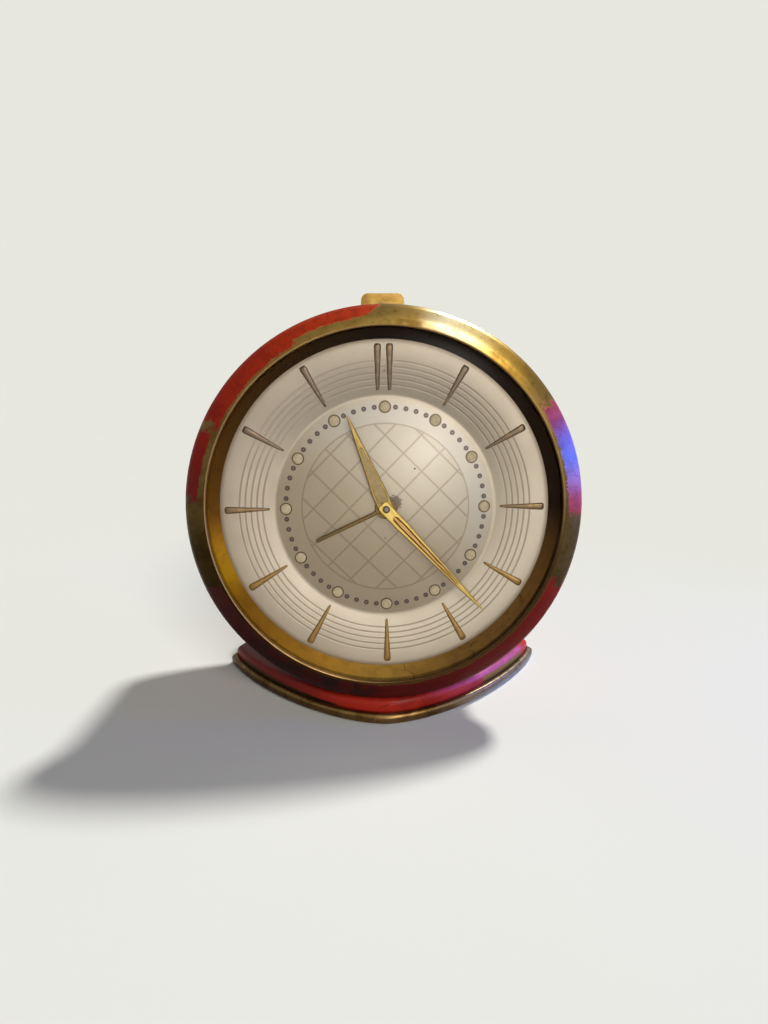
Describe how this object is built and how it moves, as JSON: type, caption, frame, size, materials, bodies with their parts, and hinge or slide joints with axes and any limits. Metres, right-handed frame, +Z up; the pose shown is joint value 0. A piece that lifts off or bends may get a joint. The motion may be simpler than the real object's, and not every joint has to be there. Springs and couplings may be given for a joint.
{
  "type": "mechanical alarm clock",
  "caption": "Round wind-up alarm clock with a red lacquered and brass case leaning back on a lens-shaped foot, luminous dial, keys behind and a stop button on top.",
  "frame": {"origin": "centre of the foot's outline on the table", "axes": "+Z up, -Y out of the dial towards the viewer, +X to the dial's right"},
  "size_m": [0.086, 0.0568, 0.0947],
  "materials": {
    "red_lacquer": "gloss lacquer, worn at the edges",
    "aged_brass": "aged, worn and tarnished",
    "polished_brass": "polished",
    "gilt_brass": "satin gilt",
    "bronze_print": "satin gilt, embossed",
    "dial_silver": "satin silvered",
    "lume": "matt luminous paste",
    "crystal": "clear",
    "felt": "felt",
    "movement_brass": "satin",
    "spring_steel": "blued",
    "steel": "satin"
  },
  "bodies": {
    "case": {"case_drum": "red_lacquer", "bezel": "aged_brass", "crystal": "crystal", "reflector_ring": "polished_brass", "dial": "dial_silver", "hour_markers": "bronze_print", "hour_plots": "lume", "mount_ring": "steel", "rear_cover": "aged_brass", "case_screws": "steel", "button_bush": "polished_brass", "cradle": "red_lacquer", "foot_screws": "steel", "nut_plate": "steel", "foot_shell": "red_lacquer", "foot_rim": "aged_brass", "foot_pad": "felt", "front_plate": "movement_brass", "rear_plate": "movement_brass", "pillars": "movement_brass", "pillar_nuts": "steel", "plate_posts": "steel", "gong_post": "steel", "balance_cups": "steel", "time_mainspring": "spring_steel", "alarm_mainspring": "spring_steel", "hairspring": "spring_steel", "button_spring": "spring_steel"},
    "centre_group": {"centre_arbor": "steel", "cannon_pinion": "steel", "minute_hand": "gilt_brass", "time_knob": "polished_brass", "clutch_spring": "spring_steel"},
    "minute_wheel_body": {"minute_wheel": "movement_brass"},
    "hour_group": {"hour_wheel": "movement_brass", "hour_hand": "gilt_brass"},
    "alarm_set_group": {"alarm_set_arbor": "steel", "alarm_set_knob": "polished_brass"},
    "alarm_dial_group": {"alarm_wheel": "movement_brass", "alarm_hand": "gilt_brass"},
    "fourth_body": {"fourth_wheel": "movement_brass"},
    "third_body": {"third_wheel": "movement_brass"},
    "centre_wheel_body": {"centre_wheel": "movement_brass"},
    "time_great_body": {"time_great_wheel": "movement_brass"},
    "escape_body": {"escape_wheel": "movement_brass"},
    "time_winding_group": {"time_arbor": "steel", "time_key": "polished_brass"},
    "time_click_body": {"time_click": "steel"},
    "alarm_great_body": {"alarm_great_wheel": "movement_brass"},
    "alarm_star_body": {"alarm_star_wheel": "movement_brass"},
    "alarm_winding_group": {"alarm_arbor": "steel", "alarm_key": "polished_brass"},
    "alarm_click_body": {"alarm_click": "steel"},
    "hammer_body": {"hammer": "steel"},
    "pallet_body": {"pallet_lever": "steel"},
    "balance_body": {"balance_wheel": "movement_brass"},
    "regulator_body": {"regulator": "steel"},
    "release_body": {"release_lever": "steel"},
    "button_body": {"stop_button": "polished_brass"},
    "stop_lever_body": {"stop_lever": "steel"}
  },
  "joints": [
    {"name": "time_setting", "type": "hinge", "parent": "case", "child": "centre_group", "pos_m": [0, -0.0071, 0.04689], "axis": [0, -0.9903, 0.1392], "continuous": true},
    {"name": "minute_wheel_turn", "type": "hinge", "parent": "case", "child": "minute_wheel_body", "pos_m": [0.006, -0.01251, 0.03716], "axis": [0, -0.9903, 0.1392], "continuous": true},
    {"name": "hour_turn", "type": "hinge", "parent": "case", "child": "hour_group", "pos_m": [0, -0.01304, 0.04773], "axis": [0, -0.9903, 0.1392], "continuous": true},
    {"name": "alarm_setting", "type": "hinge", "parent": "case", "child": "alarm_set_group", "pos_m": [-0.01386, -0.00103, 0.05412], "axis": [0, -0.9903, 0.1392], "continuous": true},
    {"name": "alarm_dial_turn", "type": "hinge", "parent": "case", "child": "alarm_dial_group", "pos_m": [0, -0.01502, 0.04801], "axis": [0, -0.9903, 0.1392], "continuous": true},
    {"name": "fourth_turn", "type": "hinge", "parent": "case", "child": "fourth_body", "pos_m": [-0.00018, 0.00225, 0.07027], "axis": [0, -0.9903, 0.1392], "continuous": true},
    {"name": "third_turn", "type": "hinge", "parent": "case", "child": "third_body", "pos_m": [0.0037, 0.00076, 0.05972], "axis": [0, -0.9903, 0.1392], "continuous": true},
    {"name": "centre_wheel_turn", "type": "hinge", "parent": "case", "child": "centre_wheel_body", "pos_m": [0, -0.00611, 0.04676], "axis": [0, -0.9903, 0.1392], "continuous": true},
    {"name": "time_great_turn", "type": "hinge", "parent": "case", "child": "time_great_body", "pos_m": [0.01517, -0.00677, 0.03488], "axis": [0, -0.9903, 0.1392], "continuous": true},
    {"name": "escape_turn", "type": "hinge", "parent": "case", "child": "escape_body", "pos_m": [0.0099, 0.00225, 0.07027], "axis": [0, -0.9903, 0.1392], "continuous": true},
    {"name": "time_winding", "type": "hinge", "parent": "time_great_body", "child": "time_winding_group", "pos_m": [0.01517, -0.00281, 0.03432], "axis": [0, -0.9903, 0.1392], "range_deg": [0, 1440]},
    {"name": "time_click_lift", "type": "hinge", "parent": "time_great_body", "child": "time_click_body", "pos_m": [0.02066, -0.0086, 0.02899], "axis": [0, 0.9903, -0.1392], "range_deg": [0, 8], "stiffness_Nm_per_rad": 0.002, "springref_deg": -8.59},
    {"name": "alarm_great_turn", "type": "hinge", "parent": "case", "child": "alarm_great_body", "pos_m": [-0.0155, -0.007, 0.03325], "axis": [0, -0.9903, 0.1392], "continuous": true},
    {"name": "alarm_star_turn", "type": "hinge", "parent": "case", "child": "alarm_star_body", "pos_m": [-0.02222, -0.00142, 0.04422], "axis": [0, -0.9903, 0.1392], "continuous": true},
    {"name": "alarm_winding", "type": "hinge", "parent": "alarm_great_body", "child": "alarm_winding_group", "pos_m": [-0.0155, -0.00303, 0.03269], "axis": [0, -0.9903, 0.1392], "range_deg": [0, 1440]},
    {"name": "alarm_click_lift", "type": "hinge", "parent": "alarm_great_body", "child": "alarm_click_body", "pos_m": [-0.01001, -0.00883, 0.02735], "axis": [0, 0.9903, -0.1392], "range_deg": [0, 8], "stiffness_Nm_per_rad": 0.002, "springref_deg": -8.59},
    {"name": "hammer_swing", "type": "hinge", "parent": "case", "child": "hammer_body", "pos_m": [-0.02252, -0.00047, 0.05095], "axis": [0, -0.9903, 0.1392], "range_deg": [-8, 9]},
    {"name": "pallet_swing", "type": "hinge", "parent": "case", "child": "pallet_body", "pos_m": [0.01488, -0.00006, 0.06825], "axis": [0, -0.9903, 0.1392], "range_deg": [-6, 6]},
    {"name": "balance_swing", "type": "hinge", "parent": "case", "child": "balance_body", "pos_m": [0.02141, 0.00326, 0.06311], "axis": [0, -0.9903, 0.1392], "range_deg": [-180, 180], "stiffness_Nm_per_rad": 0.00001},
    {"name": "regulator_turn", "type": "hinge", "parent": "case", "child": "regulator_body", "pos_m": [0.02141, 0.00772, 0.06249], "axis": [0, -0.9903, 0.1392], "range_deg": [-15, 15]},
    {"name": "release_press", "type": "hinge", "parent": "case", "child": "release_body", "pos_m": [-0.029, -0.01007, 0.04731], "axis": [0, 0.1392, 0.9903], "range_deg": [0, 0.8], "stiffness_Nm_per_rad": 0.02, "springref_deg": -5.73},
    {"name": "button_press", "type": "slide", "parent": "case", "child": "button_body", "axis": [0, -0.1392, -0.9903], "range_m": [0, 0.0012], "stiffness_N_per_m": 300, "springref_m": -0.002, "deforming": ["button_spring"]},
    {"name": "stop_lever_turn", "type": "hinge", "parent": "case", "child": "stop_lever_body", "pos_m": [0.0115, -0.00086, 0.07693], "axis": [0, -0.9903, 0.1392], "range_deg": [0, 6.05]}
  ],
  "couplings": [
    {"joint": "minute_wheel_turn", "follows": "time_setting", "ratio": -0.33333},
    {"joint": "hour_turn", "follows": "time_setting", "ratio": 0.083333},
    {"joint": "alarm_dial_turn", "follows": "alarm_setting", "ratio": -0.33333},
    {"joint": "third_turn", "follows": "fourth_turn", "ratio": -0.125},
    {"joint": "centre_wheel_turn", "follows": "fourth_turn", "ratio": 0.016667},
    {"joint": "time_great_turn", "follows": "fourth_turn", "ratio": -0.0027778},
    {"joint": "escape_turn", "follows": "fourth_turn", "ratio": -8},
    {"joint": "alarm_star_turn", "follows": "alarm_great_turn", "ratio": -6},
    {"joint": "stop_lever_turn", "follows": "button_press", "rad_per_m": 87.266}
  ]
}
